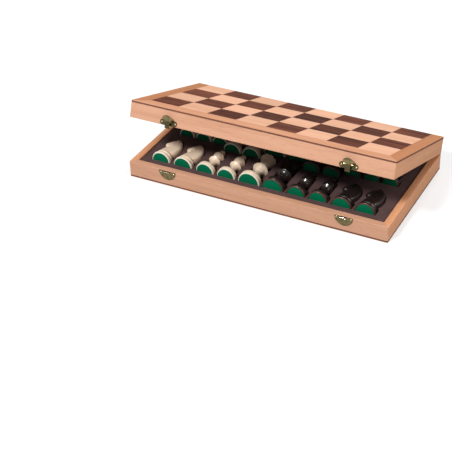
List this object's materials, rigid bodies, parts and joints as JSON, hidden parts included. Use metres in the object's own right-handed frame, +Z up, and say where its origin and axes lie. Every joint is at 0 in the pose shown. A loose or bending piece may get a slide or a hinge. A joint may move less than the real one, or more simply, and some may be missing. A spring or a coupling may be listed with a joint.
{
  "type": "folding chess box",
  "caption": "Shallow hinged wooden box whose two halves carry a checkered board outside, with spring latches, a pocketed insert and chessmen lying in it.",
  "frame": {"origin": "centre of the underside, on the surface it stands on", "axes": "+Z up, +X along the length of the box, -Y towards the latch side, +Y towards the hinges"},
  "size_m": [0.396, 0.2153, 0.1149],
  "materials": {
    "beech": "thin clear lacquer, satin",
    "light_veneer": "beech veneer, satin lacquer",
    "border_veneer": "beech veneer, satin lacquer",
    "walnut_veneer": "walnut veneer, satin lacquer",
    "fibreboard": "raw brown fibreboard edge",
    "flock": "short dark brown flock",
    "lining": "short dark brown flock",
    "brass": "bright plated, polished",
    "pale_men": "pale wood, gloss lacquer",
    "dark_men": "black-brown stain, gloss lacquer"
  },
  "bodies": {
    "base": {"base_rail_front": "beech", "base_rail_back": "beech", "base_rail_left": "beech", "base_rail_right": "beech", "base_panel": "fibreboard", "base_squares_light": "light_veneer", "base_squares_dark": "walnut_veneer", "base_border": "border_veneer", "insert_tray": "flock", "catch_plates": "brass", "catch_nails": "brass", "hinge_leaves_base": "brass", "hinge_screws_base": "brass"},
    "lid": {"lid_rail_front": "beech", "lid_rail_back": "beech", "lid_rail_left": "beech", "lid_rail_right": "beech", "lid_panel": "fibreboard", "lid_squares_light": "light_veneer", "lid_squares_dark": "walnut_veneer", "lid_border": "border_veneer", "lid_lining": "lining", "latch_plates": "brass", "latch_nails": "brass", "hinge_leaves_lid": "brass", "hinge_screws_lid": "brass"},
    "lever_left": {"latch_lever_left": "brass"},
    "lever_right": {"latch_lever_right": "brass"},
    "white_king": {"white_king": "pale_men"},
    "white_queen": {"white_queen": "pale_men"},
    "white_bishop_1": {"white_bishop_1": "pale_men"},
    "white_bishop_2": {"white_bishop_2": "pale_men"},
    "white_knight_1": {"white_knight_1": "pale_men"},
    "white_knight_2": {"white_knight_2": "pale_men"},
    "white_rook_1": {"white_rook_1": "pale_men"},
    "white_rook_2": {"white_rook_2": "pale_men"},
    "white_pawn_1": {"white_pawn_1": "pale_men"},
    "white_pawn_2": {"white_pawn_2": "pale_men"},
    "white_pawn_3": {"white_pawn_3": "pale_men"},
    "white_pawn_4": {"white_pawn_4": "pale_men"},
    "white_pawn_5": {"white_pawn_5": "pale_men"},
    "white_pawn_6": {"white_pawn_6": "pale_men"},
    "white_pawn_7": {"white_pawn_7": "pale_men"},
    "white_pawn_8": {"white_pawn_8": "pale_men"},
    "dark_king": {"dark_king": "dark_men"},
    "dark_queen": {"dark_queen": "dark_men"},
    "dark_bishop_1": {"dark_bishop_1": "dark_men"},
    "dark_bishop_2": {"dark_bishop_2": "dark_men"},
    "dark_knight_1": {"dark_knight_1": "dark_men"},
    "dark_knight_2": {"dark_knight_2": "dark_men"},
    "dark_rook_1": {"dark_rook_1": "dark_men"},
    "dark_rook_2": {"dark_rook_2": "dark_men"},
    "dark_pawn_1": {"dark_pawn_1": "dark_men"},
    "dark_pawn_2": {"dark_pawn_2": "dark_men"},
    "dark_pawn_3": {"dark_pawn_3": "dark_men"},
    "dark_pawn_4": {"dark_pawn_4": "dark_men"},
    "dark_pawn_5": {"dark_pawn_5": "dark_men"},
    "dark_pawn_6": {"dark_pawn_6": "dark_men"},
    "dark_pawn_7": {"dark_pawn_7": "dark_men"},
    "dark_pawn_8": {"dark_pawn_8": "dark_men"}
  },
  "joints": [
    {"name": "lid_hinge", "type": "hinge", "parent": "base", "child": "lid", "pos_m": [0, 0.1021, 0.0246], "axis": [-1, 0, 0], "range_deg": [-19.2, 160.8]},
    {"name": "latch_left", "type": "hinge", "parent": "lid", "child": "lever_left", "pos_m": [-0.135, -0.09074, 0.09874], "axis": [-1, 0, 0], "range_deg": [0, 20], "stiffness_Nm_per_rad": 0.05},
    {"name": "latch_right", "type": "hinge", "parent": "lid", "child": "lever_right", "pos_m": [0.135, -0.09074, 0.09874], "axis": [-1, 0, 0], "range_deg": [0, 20], "stiffness_Nm_per_rad": 0.05},
    {"name": "lift_white_king", "type": "slide", "parent": "base", "child": "white_king", "axis": [0, 0, 1], "range_m": [0, 0.016]},
    {"name": "lift_white_queen", "type": "slide", "parent": "base", "child": "white_queen", "axis": [0, 0, 1], "range_m": [0, 0.016]},
    {"name": "lift_white_bishop_1", "type": "slide", "parent": "base", "child": "white_bishop_1", "axis": [0, 0, 1], "range_m": [0, 0.016]},
    {"name": "lift_white_bishop_2", "type": "slide", "parent": "base", "child": "white_bishop_2", "axis": [0, 0, 1], "range_m": [0, 0.016]},
    {"name": "lift_white_knight_1", "type": "slide", "parent": "base", "child": "white_knight_1", "axis": [0, 0, 1], "range_m": [0, 0.016]},
    {"name": "lift_white_knight_2", "type": "slide", "parent": "base", "child": "white_knight_2", "axis": [0, 0, 1], "range_m": [0, 0.016]},
    {"name": "lift_white_rook_1", "type": "slide", "parent": "base", "child": "white_rook_1", "axis": [0, 0, 1], "range_m": [0, 0.016]},
    {"name": "lift_white_rook_2", "type": "slide", "parent": "base", "child": "white_rook_2", "axis": [0, 0, 1], "range_m": [0, 0.016]},
    {"name": "lift_white_pawn_1", "type": "slide", "parent": "base", "child": "white_pawn_1", "axis": [0, 0, 1], "range_m": [0, 0.016]},
    {"name": "lift_white_pawn_2", "type": "slide", "parent": "base", "child": "white_pawn_2", "axis": [0, 0, 1], "range_m": [0, 0.016]},
    {"name": "lift_white_pawn_3", "type": "slide", "parent": "base", "child": "white_pawn_3", "axis": [0, 0, 1], "range_m": [0, 0.016]},
    {"name": "lift_white_pawn_4", "type": "slide", "parent": "base", "child": "white_pawn_4", "axis": [0, 0, 1], "range_m": [0, 0.016]},
    {"name": "lift_white_pawn_5", "type": "slide", "parent": "base", "child": "white_pawn_5", "axis": [0, 0, 1], "range_m": [0, 0.016]},
    {"name": "lift_white_pawn_6", "type": "slide", "parent": "base", "child": "white_pawn_6", "axis": [0, 0, 1], "range_m": [0, 0.016]},
    {"name": "lift_white_pawn_7", "type": "slide", "parent": "base", "child": "white_pawn_7", "axis": [0, 0, 1], "range_m": [0, 0.016]},
    {"name": "lift_white_pawn_8", "type": "slide", "parent": "base", "child": "white_pawn_8", "axis": [0, 0, 1], "range_m": [0, 0.016]},
    {"name": "lift_dark_king", "type": "slide", "parent": "base", "child": "dark_king", "axis": [0, 0, 1], "range_m": [0, 0.016]},
    {"name": "lift_dark_queen", "type": "slide", "parent": "base", "child": "dark_queen", "axis": [0, 0, 1], "range_m": [0, 0.016]},
    {"name": "lift_dark_bishop_1", "type": "slide", "parent": "base", "child": "dark_bishop_1", "axis": [0, 0, 1], "range_m": [0, 0.016]},
    {"name": "lift_dark_bishop_2", "type": "slide", "parent": "base", "child": "dark_bishop_2", "axis": [0, 0, 1], "range_m": [0, 0.016]},
    {"name": "lift_dark_knight_1", "type": "slide", "parent": "base", "child": "dark_knight_1", "axis": [0, 0, 1], "range_m": [0, 0.016]},
    {"name": "lift_dark_knight_2", "type": "slide", "parent": "base", "child": "dark_knight_2", "axis": [0, 0, 1], "range_m": [0, 0.016]},
    {"name": "lift_dark_rook_1", "type": "slide", "parent": "base", "child": "dark_rook_1", "axis": [0, 0, 1], "range_m": [0, 0.016]},
    {"name": "lift_dark_rook_2", "type": "slide", "parent": "base", "child": "dark_rook_2", "axis": [0, 0, 1], "range_m": [0, 0.016]},
    {"name": "lift_dark_pawn_1", "type": "slide", "parent": "base", "child": "dark_pawn_1", "axis": [0, 0, 1], "range_m": [0, 0.016]},
    {"name": "lift_dark_pawn_2", "type": "slide", "parent": "base", "child": "dark_pawn_2", "axis": [0, 0, 1], "range_m": [0, 0.016]},
    {"name": "lift_dark_pawn_3", "type": "slide", "parent": "base", "child": "dark_pawn_3", "axis": [0, 0, 1], "range_m": [0, 0.016]},
    {"name": "lift_dark_pawn_4", "type": "slide", "parent": "base", "child": "dark_pawn_4", "axis": [0, 0, 1], "range_m": [0, 0.016]},
    {"name": "lift_dark_pawn_5", "type": "slide", "parent": "base", "child": "dark_pawn_5", "axis": [0, 0, 1], "range_m": [0, 0.016]},
    {"name": "lift_dark_pawn_6", "type": "slide", "parent": "base", "child": "dark_pawn_6", "axis": [0, 0, 1], "range_m": [0, 0.016]},
    {"name": "lift_dark_pawn_7", "type": "slide", "parent": "base", "child": "dark_pawn_7", "axis": [0, 0, 1], "range_m": [0, 0.016]},
    {"name": "lift_dark_pawn_8", "type": "slide", "parent": "base", "child": "dark_pawn_8", "axis": [0, 0, 1], "range_m": [0, 0.016]}
  ]
}
